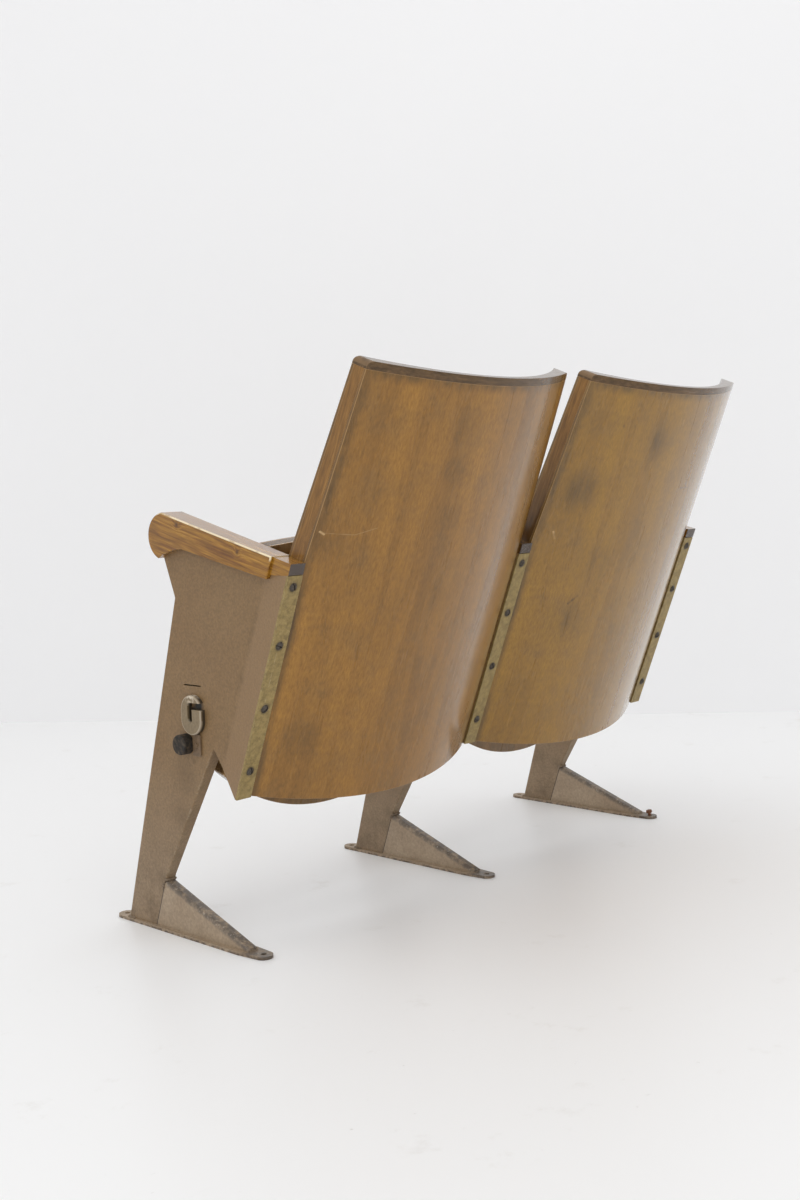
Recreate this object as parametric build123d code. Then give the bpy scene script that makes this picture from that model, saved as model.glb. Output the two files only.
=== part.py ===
from build123d import *
import math
import os

# Two-seat row of tip-up cinema chairs: three pressed-steel supports carry two curved plywood
# backs, two hinged plywood seats and three wooden armrests.
# X runs along the row (positive to the sitter's left), +Y to the rear, +Z up. The origin is on
# the floor, midway between the two bolt holes of the middle foot. Millimetres and degrees.

# Row
SEAT_PITCH = 520.0
SUPPORTS = {"left": SEAT_PITCH, "middle": 0.0, "right": -SEAT_PITCH}
SEATS = {"left": SEAT_PITCH / 2, "right": -SEAT_PITCH / 2}
TOUCH_GAP = 0.3              # between a piece and the seat it is carried on
STOP_GAP = 0.4               # between a stop face and its rubber at the end of travel

# Pressed supports, as (y, z) points of the side outline
SHEET = 1.5
LEG_HALF = 10.0              # half thickness of leg and cheek
WING_HALF = 14.25            # half thickness at the rear edge of the wing
WING_WIDTH = 43.0            # from the crease to the rear edge
EDGE_ROUND = 2.5
KNEE = (6.0, 526.0)
TOE_Y = -146.0
CROTCH = (83.0, 303.0)
ANKLE = (-49.0, 81.0)
SEAM_FOOT_Y = -76.0
SLIT_LENGTH = 40.0
SLIT_WIDTH = 2.0
SLIT_CENTRE = (39.0, 395.0)

# Rear clamp strip, lying in the reclined plane of the backs
RECLINE = 21.4
STRIP_REF = (258.0, 548.0)   # (y, z) of the top bolt on the strip's rear face
STRIP_WIDTH = 28.5
STRIP_T = 3.0
STRIP_CORNER = 1.0
STRIP_FOOT = -339.0          # along the strip, from the top bolt
BOLTS_AT = (0.0, -90.3, -190.1, -292.2)
BOLT_R = 3.0
BOLT_HOLE_R = 3.3
BOLT_HEAD_R = 6.5
BOLT_HEAD_H = 4.0
BOLT_TAIL = 3.0              # thread standing out of the nut
NUT_R = 5.8
NUT_H = 5.0
NUT_BORE_R = 3.1

# Feet
FOOT_BOLT_SPACING = 330.0
FOOT_LUG_R = 14.0
FOOT_HOLE_R = 4.5
FOOT_TOE_FLANGE = 3.0        # base plate outside the leg, at its front
FOOT_HEEL_FLANGE = 8.0       # and outside the fin, near the heel
BASE_T = 5.0
FIN_HEEL_Y = 142.0
FIN_HEEL_H = 5.0
FIN_ROUND = 6.0
FIN_WALL = 3.5

# Armrests, as (y, z) points of the side outline
ARM_FRONT_HALF = 21.5        # half width at the nose
ARM_REAR_HALF = 18.5         # and at the rear
ARM_JUNCTION = (-16.0, 586.0)
ARM_HOLLOW = (8.0, 595.5)
ARM_CREST = (42.0, 600.0)
ARM_NOSE = (-37.0, 622.0)
ARM_TOP_FRONT = (-4.0, 655.0)
ARM_REAR = (237.0, 591.0)    # a point that the straight top runs through
ARM_STEP_FLOOR = 560.0       # lowest corner, where the body steps in to the tongue
ARM_EDGE = 2.0
TONGUE_FLOOR = 565.0
TONGUE_DROP = 1.0            # tongue below the body's top
TONGUE_GAP = 0.8             # to the stile on either side
ARM_SCREW_R = 2.5
ARM_SCREW_HEAD_R = 5.0
ARM_SCREW_HEAD_H = 3.0
ARM_SCREW_GRIP = 20.0
ARM_SCREWS = (0.2, 0.8)      # places along the straight underside

# Backs: two bent skins that meet in the middle and are spread by stiles at the sides
BACK_R = 497.0               # radius of the rear face
BACK_EDGE_T = 33.0           # square to the back, at its sides
SKIN_T = 4.0
BACK_RECESS = 4.0            # rear face at the edges, in front of the strip's rear face
BACK_TOP = 329.0             # along the strip's line, from the top bolt
BACK_TOP_HALF = 225.0
BACK_TAPER_FROM = 30.0
BACK_BOTTOM_BOW = 4.0
BACK_CORNER = 9.0
CAP_H = 12.0
STILE_WIDTH = 42.0
PACKER_HEIGHT = 46.0
PACKER_FROM = 110.0          # half of the middle part that needs no packing
BACK_SCREW_R = 2.0
BACK_SCREW_HEAD_R = 3.5
BACK_SCREW_HEAD_H = 2.2
BACK_SCREW_GRIP = 11.0
BACK_SCREW_AT = (-50.0, -165.0, -280.0)
BACK_SCREW_DEPTH = 20.0      # in front of the strip's rear face
SCREW_FIT = 0.05

# Pivots
PIVOT = (41.0, 345.0)
PIN_R = 5.0
PIN_FIT = 0.08
BEARING_T = 9.0
BEARING_WIDTH = 46.0
BEARING_HEIGHT = 60.0
BEARING_CENTRE = (43.0, 351.0)
BEARING_ROUND = 2.0
POCKET_DEPTH = 20.0          # the pin drops this far to its seat
PIN_END_GAP = 1.0
RUN_GAP = 1.5                # between bearing and hinge plate
PLATE_T = 5.0
BUFFER_R = 15.5
BUFFER_CENTRE = (22.0, 305.0)
BUFFER_H = 18.0
BUFFER_DOME = 3.0
STRAP_WIDTH = 18.0
STRAP_HEIGHT = 33.0
STRAP_T = 3.0
STRAP_CORNER = 3.0
STRAP_RIVET_R = 3.5
STRAP_RIVET_H = 2.0

# Seats, folded up: "along" runs from the pivot to the front edge
SEAT_LEAN = 13.7             # folded seat, back from the vertical
SEAT_TRAVEL = 98.0
SEAT_FRONT = 285.0
SEAT_REAR = 170.0
SEAT_REAR_BOW = 86.0
SEAT_FRONT_BOW = 14.0
SEAT_FACE = 38.0             # sitting face from the pivot, at the bottom of its dish
SEAT_DISH_R = 3100.0
SEAT_DISH_AT = 60.0
SEAT_T = 24.0
SEAT_REAR_CORNER = 12.0
SEAT_FRONT_CORNER = 40.0
SEAT_RAIL = 46.0
HUB_R = 24.0
PLATE_REAR = 52.0            # hinge plate, to the rear and front of the pivot
PLATE_FRONT = 90.0
WEB_FRONT = 60.0
PLATE_HEIGHT = 19.0
PLATE_CORNER = 5.0
FINGER_HALF = 8.0
FINGER_LENGTH = 66.0
PLATE_SCREW_R = 2.5
PLATE_SCREW_HEAD_R = 5.0
PLATE_SCREW_HEAD_H = 1.2
PLATE_SCREW_GRIP = 20.0
PLATE_SCREWS = (-32.0, 72.0)

# Values that follow
SIN_R = math.sin(math.radians(RECLINE))
COS_R = math.cos(math.radians(RECLINE))
STRIP_TOP = (TONGUE_FLOOR - STRIP_REF[1] - STRIP_T * SIN_R) / COS_R
BACK_HALF = SEAT_PITCH / 2 - WING_HALF - TOUCH_GAP
BACK_SAG = BACK_R - math.sqrt(BACK_R ** 2 - BACK_HALF ** 2)
BACK_AXIS = BACK_SAG - BACK_RECESS - BACK_R
FRONT_SAG = BACK_SAG + BACK_EDGE_T - 2 * SKIN_T - TOUCH_GAP
FRONT_R = (BACK_HALF ** 2 + FRONT_SAG ** 2) / (2 * FRONT_SAG)
FRONT_AXIS = FRONT_SAG - BACK_RECESS - BACK_EDGE_T - FRONT_R
CAP_FOOT = BACK_TOP - CAP_H
FLARE = (WING_HALF - LEG_HALF) / WING_WIDTH
SCREW_SEAT = WING_HALF - SHEET - FLARE * (BACK_SCREW_DEPTH - STRIP_T + BACK_SCREW_HEAD_R)
PLATE_FACE = LEG_HALF + BEARING_T + RUN_GAP
SEAT_HALF = SEAT_PITCH / 2 - PLATE_FACE - PLATE_T
SEAT_UNDER = SEAT_FACE - SEAT_T
FAR = 900.0                  # reach of cutting shapes, past the whole row section
OVERLAP = 1.0                # of a cutting shape past the middle plane


def side_plane(x):
    """Sketch plane across the row: local x is Y, local y is Z, normal +X."""
    return Plane(origin=(x, 0, 0), x_dir=(0, 1, 0), z_dir=(1, 0, 0))


def facing_plane(x, at, lean):
    """Sketch plane of a leaning panel: local x is X, local y runs up the panel, normal forward."""
    a = math.radians(lean)
    return Plane(origin=(x, *at), x_dir=(1, 0, 0), z_dir=(0, -math.cos(a), math.sin(a)))


def section_plane(x, at, lean):
    """Sketch plane square to a leaning panel: local x is X, local y points to the rear."""
    a = math.radians(lean)
    return Plane(origin=(x, *at), x_dir=(1, 0, 0), z_dir=(0, math.sin(a), math.cos(a)))


def profile_plane(x, at, lean):
    """Side plane of a leaning panel: local x runs up the panel, local y to the rear, normal -X."""
    a = math.radians(lean)
    return Plane(origin=(x, *at), x_dir=(0, math.sin(a), math.cos(a)), z_dir=(-1, 0, 0))


def on_back(along, rear):
    """The (y, z) point at a place along the strip's line and behind its rear face."""
    y = STRIP_REF[0] + along * SIN_R + rear * COS_R
    z = STRIP_REF[1] + along * COS_R - rear * SIN_R
    return (y, z)


def rod(start, direction, radius, length):
    return extrude(Plane(origin=start, z_dir=direction) * Circle(radius), amount=length)


def screw(start, direction, radius, length, head_r, head_h):
    """Round-headed screw: domed head outside the start point, shank running along the direction."""
    dome_r = (head_r ** 2 + head_h ** 2) / (2 * head_h)
    half_turn = math.asin(head_r / dome_r) / 2
    shoulder = (dome_r * math.sin(half_turn), head_h - dome_r + dome_r * math.cos(half_turn))
    edges = ThreePointArc((head_r, 0), shoulder, (0, head_h))
    edges += Polyline((0, head_h), (0, -length), (radius, -length), (radius, 0), (head_r, 0))
    turned = revolve(Plane.XZ * make_face(edges.edges()), axis=Axis.Z)
    return Plane(origin=start, z_dir=-Vector(direction)) * turned


def save(node, shape):
    export_step(shape, f"parts/{node}.step")


# Underside of the armrest, which is also the top edge of the support. The armrest's body ends at
# a step just in front of the backs; only its tongue runs on to the strip.
step_depth = BACK_RECESS + BACK_EDGE_T + TOUCH_GAP


def at_height(z, depth):
    """The (y, z) point at a height on the plane that lies a depth in front of the strip's rear face."""
    return on_back((z - STRIP_REF[1] - depth * SIN_R) / COS_R, -depth)


def arm_top_at(depth, drop):
    """The point of the armrest's straight top, lowered by a drop, on such a plane."""
    fall = (ARM_TOP_FRONT[1] - ARM_REAR[1]) / (ARM_REAR[0] - ARM_TOP_FRONT[0])
    run = at_height(0, depth)[0] - ARM_TOP_FRONT[0]
    return at_height((ARM_TOP_FRONT[1] - drop - fall * run) / (1 + fall * SIN_R / COS_R), depth)


step_point = at_height(ARM_STEP_FLOOR, step_depth)
notch_point = at_height(TONGUE_FLOOR, step_depth)
slope = math.atan2(ARM_CREST[1] - step_point[1], step_point[0] - ARM_CREST[0])
slope_out = (0.0, math.sin(slope), math.cos(slope))


def arm_screw_point(place, depth):
    """A point under the armrest: place along the straight underside, depth below it."""
    y = ARM_CREST[0] + place * (step_point[0] - ARM_CREST[0])
    z = ARM_CREST[1] + place * (step_point[1] - ARM_CREST[1])
    return (0.0, y - depth * slope_out[1], z - depth * slope_out[2])


def support_outline():
    wing_top = on_back(STRIP_TOP, -STRIP_T)
    wing_tip = on_back(STRIP_FOOT, -STRIP_T)
    edges = ThreePointArc(ARM_JUNCTION, ARM_HOLLOW, ARM_CREST)
    edges += Polyline(ARM_CREST, step_point, notch_point, wing_top, wing_tip, CROTCH, ANKLE,
                      (SEAM_FOOT_Y, BASE_T), (TOE_Y, BASE_T), KNEE, ARM_JUNCTION)
    return make_face(edges.edges())


def thickness_envelope(inset):
    """Half of the support's thickness: flat cheek, then the wing flaring out to the strip."""
    crease = -STRIP_T - WING_WIDTH
    outline = Polyline((-OVERLAP, -FAR), (LEG_HALF - inset, -FAR), (LEG_HALF - inset, crease),
                       (WING_HALF - inset, -STRIP_T), (WING_HALF - inset, FAR), (-OVERLAP, FAR), close=True)
    return extrude(section_plane(0, STRIP_REF, RECLINE) * make_face(outline.edges()), amount=FAR, both=True)


# Cheek pressings: each support is two mirrored trays, edge to edge in its middle plane
outline = support_outline()
tray = extrude(side_plane(0) * outline, amount=WING_HALF) & thickness_envelope(0)


def outer_edge(a, b):
    """The tray's outer edge between two points of the outline."""
    return tray.edges().sort_by_distance(Vector(LEG_HALF, (a[0] + b[0]) / 2, (a[1] + b[1]) / 2))[0]


leg_edges = [outer_edge((TOE_Y, BASE_T), KNEE), outer_edge(KNEE, ARM_JUNCTION), outer_edge(CROTCH, ANKLE)]
tray = fillet(leg_edges, EDGE_ROUND)
hollow = offset(outline, -SHEET, kind=Kind.INTERSECTION)
tray -= extrude(side_plane(-OVERLAP) * hollow, amount=WING_HALF + OVERLAP) & thickness_envelope(SHEET)
slit = Pos(*SLIT_CENTRE) * SlotOverall(SLIT_LENGTH, SLIT_WIDTH)
tray -= extrude(side_plane(LEG_HALF - 2 * SHEET) * slit, amount=FAR)

forward = (0.0, -COS_R, SIN_R)
for along in BOLTS_AT:
    tray -= rod((0, *on_back(along, 0)), forward, BOLT_HOLE_R, STRIP_T + 2 * SHEET)
for place in ARM_SCREWS:
    tray -= rod(arm_screw_point(place, 2 * SHEET), slope_out, ARM_SCREW_R + SCREW_FIT, 3 * SHEET)
seat_side_tray = tray
for along in BACK_SCREW_AT:
    seat_side_tray -= rod((LEG_HALF, *on_back(along, -BACK_SCREW_DEPTH)), (1, 0, 0),
                          BACK_SCREW_R + SCREW_FIT, WING_HALF)

# Foot: hollow fin behind the leg on a base plate with a bolt lug at each end
lug_y = FOOT_BOLT_SPACING / 2
toe_r = LEG_HALF + FOOT_TOE_FLANGE
heel_r = LEG_HALF + FOOT_HEEL_FLANGE
plate_edges = Sketch()
rounds = ((FOOT_LUG_R, -lug_y), (toe_r, TOE_Y + toe_r), (heel_r, FIN_HEEL_Y - heel_r), (FOOT_LUG_R, lug_y))
for radius, y in rounds:
    plate_edges += Pos(0, y) * Circle(radius)
base = extrude(make_hull(plate_edges.edges()), amount=BASE_T)
fin_outline = Polyline((SEAM_FOOT_Y, BASE_T), ANKLE, (FIN_HEEL_Y, BASE_T + FIN_HEEL_H),
                       (FIN_HEEL_Y, BASE_T), close=True)
fin_face = make_face(fin_outline.edges())
fin = extrude(side_plane(0) * fin_face, amount=LEG_HALF, both=True)
ridge_middle = ((ANKLE[0] + FIN_HEEL_Y) / 2, (ANKLE[1] + BASE_T + FIN_HEEL_H) / 2)
ridge = [fin.edges().sort_by_distance(Vector(side * LEG_HALF, *ridge_middle))[0] for side in (-1, 1)]
fin = fillet(ridge, FIN_ROUND)
fin_core = offset(fin_face, -FIN_WALL, kind=Kind.INTERSECTION)
core = extrude(side_plane(0) * fin_core, amount=LEG_HALF - FIN_WALL, both=True)
core_floor = core.faces().sort_by(Axis.Z)[0]
core += extrude(core_floor, amount=BASE_T + FIN_WALL, dir=(0, 0, -1))
foot = base + fin - core
for y in (-lug_y, lug_y):
    foot -= rod((0, y, 0), (0, 0, 1), FOOT_HOLE_R, BASE_T)

# Rear strip with its row of round-headed bolts and nuts
strip_shape = RectangleRounded(STRIP_WIDTH, STRIP_TOP - STRIP_FOOT, STRIP_CORNER)
strip_shape = Pos(0, (STRIP_TOP + STRIP_FOOT) / 2) * strip_shape
strip = extrude(facing_plane(0, STRIP_REF, RECLINE) * strip_shape, amount=STRIP_T)
bolts = []
for along in BOLTS_AT:
    strip -= rod((0, *on_back(along, 0)), forward, BOLT_HOLE_R, STRIP_T)
    seat_of_nut = STRIP_T + SHEET
    bolt_length = seat_of_nut + NUT_H + BOLT_TAIL
    bolts.append(screw((0, *on_back(along, 0)), forward, BOLT_R, bolt_length, BOLT_HEAD_R, BOLT_HEAD_H))
    nut_plane = Plane(origin=(0, *on_back(along, -seat_of_nut)), z_dir=forward)
    bolts.append(extrude(nut_plane * (RegularPolygon(NUT_R, 6) - Circle(NUT_BORE_R)), amount=NUT_H))

# Armrest: full-width body with a bulbous nose, and a narrow tongue between the stiles
body_edges = ThreePointArc(ARM_JUNCTION, ARM_HOLLOW, ARM_CREST)
body_edges += Polyline(ARM_CREST, step_point, arm_top_at(step_depth, 0), ARM_TOP_FRONT)
body_edges += ThreePointArc(ARM_TOP_FRONT, ARM_NOSE, ARM_JUNCTION)
arm_body = extrude(side_plane(0) * make_face(body_edges.edges()), amount=2 * ARM_FRONT_HALF, both=True)
plan = Polyline((-ARM_FRONT_HALF, ARM_NOSE[0]), (ARM_FRONT_HALF, ARM_NOSE[0]), (ARM_REAR_HALF, ARM_REAR[0]),
                (-ARM_REAR_HALF, ARM_REAR[0]), close=True)
arm_body &= extrude(make_face(plan.edges()), amount=FAR)
arm_edges = arm_body.faces().sort_by(Axis.X)[0].edges() + arm_body.faces().sort_by(Axis.X)[-1].edges()
underside_z = (ARM_CREST[1] + step_point[1]) / 2
arm_body = fillet(arm_edges.filter_by(lambda e: abs(e.center().Z - underside_z) > ARM_EDGE), ARM_EDGE)
tongue_half = SEAT_PITCH / 2 - BACK_HALF - TONGUE_GAP
tongue_outline = Polyline(notch_point, at_height(TONGUE_FLOOR, 0), arm_top_at(0, TONGUE_DROP),
                          arm_top_at(step_depth, TONGUE_DROP), close=True)
tongue = extrude(side_plane(0) * make_face(tongue_outline.edges()), amount=tongue_half, both=True)
armrest = arm_body + tongue
arm_screws = []
for place in ARM_SCREWS:
    arm_screws.append(screw(arm_screw_point(place, SHEET), slope_out, ARM_SCREW_R, SHEET + ARM_SCREW_GRIP,
                            ARM_SCREW_HEAD_R, ARM_SCREW_HEAD_H))
    armrest -= rod(arm_screw_point(place, 0), slope_out, ARM_SCREW_R + SCREW_FIT, ARM_SCREW_GRIP + SCREW_FIT)

# Pivot hardware for a cheek facing +X: bearing boss with a bayonet slot, rubber buffer and strap
boss_plane = side_plane(LEG_HALF)
boss_shape = Pos(*BEARING_CENTRE) * SlotOverall(BEARING_HEIGHT, BEARING_WIDTH, rotation=90)
bearing = extrude(boss_plane * boss_shape, amount=BEARING_T)
bearing = fillet(bearing.faces().sort_by(Axis.X)[-1].edges(), BEARING_ROUND)
slot_r = PIN_R + PIN_FIT
pocket_top = PIVOT[1] + POCKET_DEPTH
pocket = SlotCenterToCenter(POCKET_DEPTH, 2 * slot_r, rotation=90)
pocket = Pos(PIVOT[0], PIVOT[1] + POCKET_DEPTH / 2) * pocket
pocket += Pos(PIVOT[0] + BEARING_WIDTH / 2, pocket_top) * Rectangle(BEARING_WIDTH, 2 * slot_r)
bearing -= extrude(boss_plane * pocket, amount=BEARING_T)

buffer = extrude(boss_plane * Pos(*BUFFER_CENTRE) * Circle(BUFFER_R), amount=BUFFER_H)
buffer = fillet(buffer.edges().sort_by(Axis.X)[-1], BUFFER_DOME)

strap_centre = (BUFFER_CENTRE[0] + BUFFER_R + TOUCH_GAP + STRAP_WIDTH / 2, BUFFER_CENTRE[1])
strap_shape = Pos(*strap_centre) * RectangleRounded(STRAP_WIDTH, STRAP_HEIGHT, STRAP_CORNER)
strap = extrude(boss_plane * strap_shape, amount=STRAP_T)
rivet_at = (LEG_HALF + STRAP_T, strap_centre[0], strap_centre[1])
strap += rod(rivet_at, (1, 0, 0), STRAP_RIVET_R, STRAP_RIVET_H)
strap -= extrude(boss_plane * boss_shape, amount=BEARING_T)


def back_outline():
    left_foot = (-BACK_HALF, STRIP_FOOT)
    right_foot = (BACK_HALF, STRIP_FOOT)
    edges = ThreePointArc(left_foot, (0, STRIP_FOOT - BACK_BOTTOM_BOW), right_foot)
    edges += Polyline(right_foot, (BACK_HALF, BACK_TAPER_FROM), (BACK_TOP_HALF, BACK_TOP),
                      (-BACK_TOP_HALF, BACK_TOP), (-BACK_HALF, BACK_TAPER_FROM), left_foot)
    face = make_face(edges.edges())
    return fillet(face.vertices().group_by(Axis.Y)[-1], BACK_CORNER)


def back_circle(depth):
    """Section of the rear face, or of a face at a depth under it."""
    return Pos(0, BACK_AXIS) * Circle(BACK_R - depth)


def front_circle(depth):
    """Section of the front face, or of a face at a depth under it."""
    return Pos(0, FRONT_AXIS) * Circle(FRONT_R + depth)


def back_layer(x, rear, front, outline_face):
    """Part of a back between two section circles, inside an outline."""
    sheet = extrude(section_plane(x, STRIP_REF, RECLINE) * (rear - front), amount=FAR, both=True)
    panel = extrude(facing_plane(x, STRIP_REF, RECLINE) * outline_face, amount=FRONT_R / 2, both=True)
    return sheet & panel


def band(low, high):
    """Full-width strip of the back's plane between two heights."""
    return Pos(0, (low + high) / 2) * Rectangle(FAR, high - low)


def make_back(name, x):
    whole = back_outline()
    below_cap = whole - band(CAP_FOOT, BACK_TOP + CAP_H)
    inside = Polyline((BACK_HALF - STILE_WIDTH, STRIP_FOOT - FAR), (BACK_HALF - STILE_WIDTH, BACK_TAPER_FROM),
                      (BACK_TOP_HALF - STILE_WIDTH, BACK_TOP), (STILE_WIDTH - BACK_TOP_HALF, BACK_TOP),
                      (STILE_WIDTH - BACK_HALF, BACK_TAPER_FROM), (STILE_WIDTH - BACK_HALF, STRIP_FOOT - FAR),
                      close=True)
    middle = make_face(inside.edges())
    core = (x, back_circle(SKIN_T), front_circle(SKIN_T))
    right_stile, left_stile = back_layer(*core, below_cap - middle).solids().sort_by(Axis.X)
    screws = []
    for side in (-1, 1):
        for along in BACK_SCREW_AT:
            start = (x + side * (SEAT_PITCH / 2 - SCREW_SEAT), *on_back(along, -BACK_SCREW_DEPTH))
            inward = (-side, 0, 0)
            grip = WING_HALF - SCREW_SEAT + BACK_SCREW_GRIP
            screws.append(screw(start, inward, BACK_SCREW_R, grip, BACK_SCREW_HEAD_R, BACK_SCREW_HEAD_H))
            hole = rod(start, inward, BACK_SCREW_R + SCREW_FIT, grip + SCREW_FIT)
            right_stile -= hole
            left_stile -= hole
    save(f"{name}_back_rear_skin", back_layer(x, back_circle(0), back_circle(SKIN_T), below_cap))
    save(f"{name}_back_front_skin", back_layer(x, front_circle(SKIN_T), front_circle(0), below_cap))
    save(f"{name}_back_left_stile", left_stile)
    save(f"{name}_back_right_stile", right_stile)
    wedges = below_cap & middle - Rectangle(2 * PACKER_FROM, 2 * FAR)
    lower = wedges & band(STRIP_FOOT - FAR, STRIP_FOOT + PACKER_HEIGHT)
    upper = wedges & band(CAP_FOOT - PACKER_HEIGHT, CAP_FOOT)
    save(f"{name}_back_bottom_packers", Compound(back_layer(*core, lower).solids()))
    save(f"{name}_back_top_packers", Compound(back_layer(*core, upper).solids()))
    top_band = whole & band(CAP_FOOT, BACK_TOP + CAP_H)
    save(f"{name}_back_cap", back_layer(x, back_circle(0), front_circle(0), top_band))
    return screws


def seat_outline(inset):
    half = SEAT_HALF - inset
    rear = -SEAT_REAR + inset
    front = SEAT_FRONT - inset
    edges = ThreePointArc((-half, rear + SEAT_REAR_BOW), (0, rear), (half, rear + SEAT_REAR_BOW))
    edges += Line((half, rear + SEAT_REAR_BOW), (half, front - SEAT_FRONT_BOW))
    edges += ThreePointArc((half, front - SEAT_FRONT_BOW), (0, front), (-half, front - SEAT_FRONT_BOW))
    edges += Line((-half, front - SEAT_FRONT_BOW), (-half, rear + SEAT_REAR_BOW))
    face = make_face(edges.edges())
    if inset == 0:
        face = fillet(face.vertices().group_by(Axis.Y)[0], SEAT_REAR_CORNER)
        face = fillet(face.vertices().group_by(Axis.Y)[-1], SEAT_FRONT_CORNER)
    return face


def seat_layer(x, upper, lower, outline_face):
    """Part of a seat between two depths below its sitting face, inside an outline."""
    centre = Pos(SEAT_DISH_AT, SEAT_FACE + SEAT_DISH_R)
    dish = centre * (Circle(SEAT_DISH_R + lower) - Circle(SEAT_DISH_R + upper))
    sheet = extrude(profile_plane(x, PIVOT, SEAT_LEAN) * dish, amount=SEAT_PITCH, both=True)
    panel = extrude(facing_plane(x, PIVOT, SEAT_LEAN) * outline_face, amount=-SEAT_DISH_R / 2)
    return sheet & panel


def hinge_plate(x, side):
    """Side plate with its pin: screwed to the side rail, stopped by the buffer both ways."""
    face_x = x + side * (SEAT_PITCH / 2 - PLATE_FACE)
    plane = profile_plane(face_x, PIVOT, SEAT_LEAN)
    lean = math.radians(SEAT_LEAN)
    dy = BUFFER_CENTRE[0] - PIVOT[0]
    dz = BUFFER_CENTRE[1] - PIVOT[1]
    reach = math.hypot(dy, dz)
    folded = math.degrees(math.atan2(dy * math.cos(lean) - dz * math.sin(lean),
                                     dy * math.sin(lean) + dz * math.cos(lean)))
    track = SlotArc(CenterArc((0, 0), reach, folded, SEAT_TRAVEL), 2 * (BUFFER_R + STOP_GAP))
    finger_turn = math.degrees(math.asin((BUFFER_R + FINGER_HALF) / reach))
    finger = Rot(0, 0, folded + SEAT_TRAVEL + finger_turn) * (
        Pos(FINGER_LENGTH / 2, 0) * SlotOverall(FINGER_LENGTH + 2 * FINGER_HALF, 2 * FINGER_HALF))
    low = SEAT_UNDER + SKIN_T
    rail_part = Pos((PLATE_FRONT - PLATE_REAR) / 2, low + PLATE_HEIGHT / 2) * RectangleRounded(
        PLATE_FRONT + PLATE_REAR, PLATE_HEIGHT, PLATE_CORNER)
    root = Rectangle(WEB_FRONT + PLATE_REAR, PLATE_CORNER)
    root = Pos((WEB_FRONT - PLATE_REAR) / 2, low + PLATE_CORNER) * root
    web = make_hull((Circle(HUB_R) + root).edges())
    shape = Circle(HUB_R) + web + rail_part + finger - track
    plate = extrude(plane * shape, amount=side * PLATE_T)
    pin_length = BEARING_T + RUN_GAP - PIN_END_GAP + PLATE_T
    pin = rod((face_x - side * PLATE_T, *PIVOT), (side, 0, 0), PIN_R, pin_length)
    return plate + pin


def make_seat(name, x):
    whole = seat_outline(0)
    window = seat_outline(SEAT_RAIL)
    ring = whole - window
    sides = ring - Rectangle(2 * (SEAT_HALF - SEAT_RAIL), FAR)
    ends = ring & Rectangle(2 * (SEAT_HALF - SEAT_RAIL), FAR)
    side_rails = seat_layer(x, SKIN_T, SEAT_T - SKIN_T, sides).solids().sort_by(Axis.X)
    rear_rail, front_rail = seat_layer(x, SKIN_T, SEAT_T - SKIN_T, ends).solids().sort_by(Axis.Z)
    plates = []
    screws = []
    lean = math.radians(SEAT_LEAN)
    depth = SEAT_UNDER + SKIN_T + PLATE_HEIGHT / 2
    rails = []
    for side, rail in zip((-1, 1), side_rails):
        plate = hinge_plate(x, side)
        for along in PLATE_SCREWS:
            y = PIVOT[0] + along * math.sin(lean) + depth * math.cos(lean)
            z = PIVOT[1] + along * math.cos(lean) - depth * math.sin(lean)
            start = (x + side * (SEAT_HALF + PLATE_T), y, z)
            inward = (-side, 0, 0)
            grip = PLATE_T + PLATE_SCREW_GRIP
            hole = rod(start, inward, PLATE_SCREW_R + SCREW_FIT, grip + SCREW_FIT)
            plate -= hole
            rail -= hole
            screws.append(screw(start, inward, PLATE_SCREW_R, grip, PLATE_SCREW_HEAD_R, PLATE_SCREW_HEAD_H))
        plates.append(plate)
        rails.append(rail)
    save(f"{name}_seat_top_skin", seat_layer(x, 0, SKIN_T, whole))
    save(f"{name}_seat_bottom_skin", seat_layer(x, SEAT_T - SKIN_T, SEAT_T, whole))
    save(f"{name}_seat_side_rails", Compound(rails))
    save(f"{name}_seat_front_rail", front_rail)
    save(f"{name}_seat_rear_rail", rear_rail)
    save(f"{name}_seat_hinge_plates", Compound(plates))
    save(f"{name}_seat_hinge_screws", Compound(screws))


os.makedirs("parts", exist_ok=True)

ends = {"left": 1, "right": -1}
all_arm_screws = []
for name, x in SUPPORTS.items():
    for side_name, side in ends.items():
        outside = ends.get(name) == side
        half = tray if outside else seat_side_tray
        if side < 0:
            half = mirror(half, about=Plane.YZ)
        save(f"{name}_support_{side_name}_cheek", Pos(x, 0, 0) * half)
    save(f"{name}_foot", Pos(x, 0, 0) * foot)
    save(f"{name}_clamp_strip", Pos(x, 0, 0) * strip)
    save(f"{name}_strip_bolts", Compound([Pos(x, 0, 0) * b for b in bolts]))
    save(f"{name}_armrest", Pos(x, 0, 0) * armrest)
    all_arm_screws += [Pos(x, 0, 0) * s for s in arm_screws]
    for piece_name, piece in (("buffers", buffer), ("buffer_straps", strap)):
        pair = [Pos(x, 0, 0) * piece, Pos(x, 0, 0) * mirror(piece, about=Plane.YZ)]
        save(f"{name}_{piece_name}", Compound(pair))

save("armrest_screws", Compound(all_arm_screws))

for name, side in ends.items():
    end_bearing = bearing if side > 0 else mirror(bearing, about=Plane.YZ)
    save(f"{name}_end_bearing", Pos(SUPPORTS[name], 0, 0) * end_bearing)

back_screws = []
for name, x in SEATS.items():
    left_bearing = Pos(x + SEAT_PITCH / 2, 0, 0) * mirror(bearing, about=Plane.YZ)
    right_bearing = Pos(x - SEAT_PITCH / 2, 0, 0) * bearing
    save(f"{name}_seat_bearings", Compound([left_bearing, right_bearing]))
    back_screws += make_back(name, x)
    make_seat(name, x)
save("back_screws", Compound(back_screws))
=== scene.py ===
import math
import random

import bmesh
import bpy
from mathutils import Matrix, Vector


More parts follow.
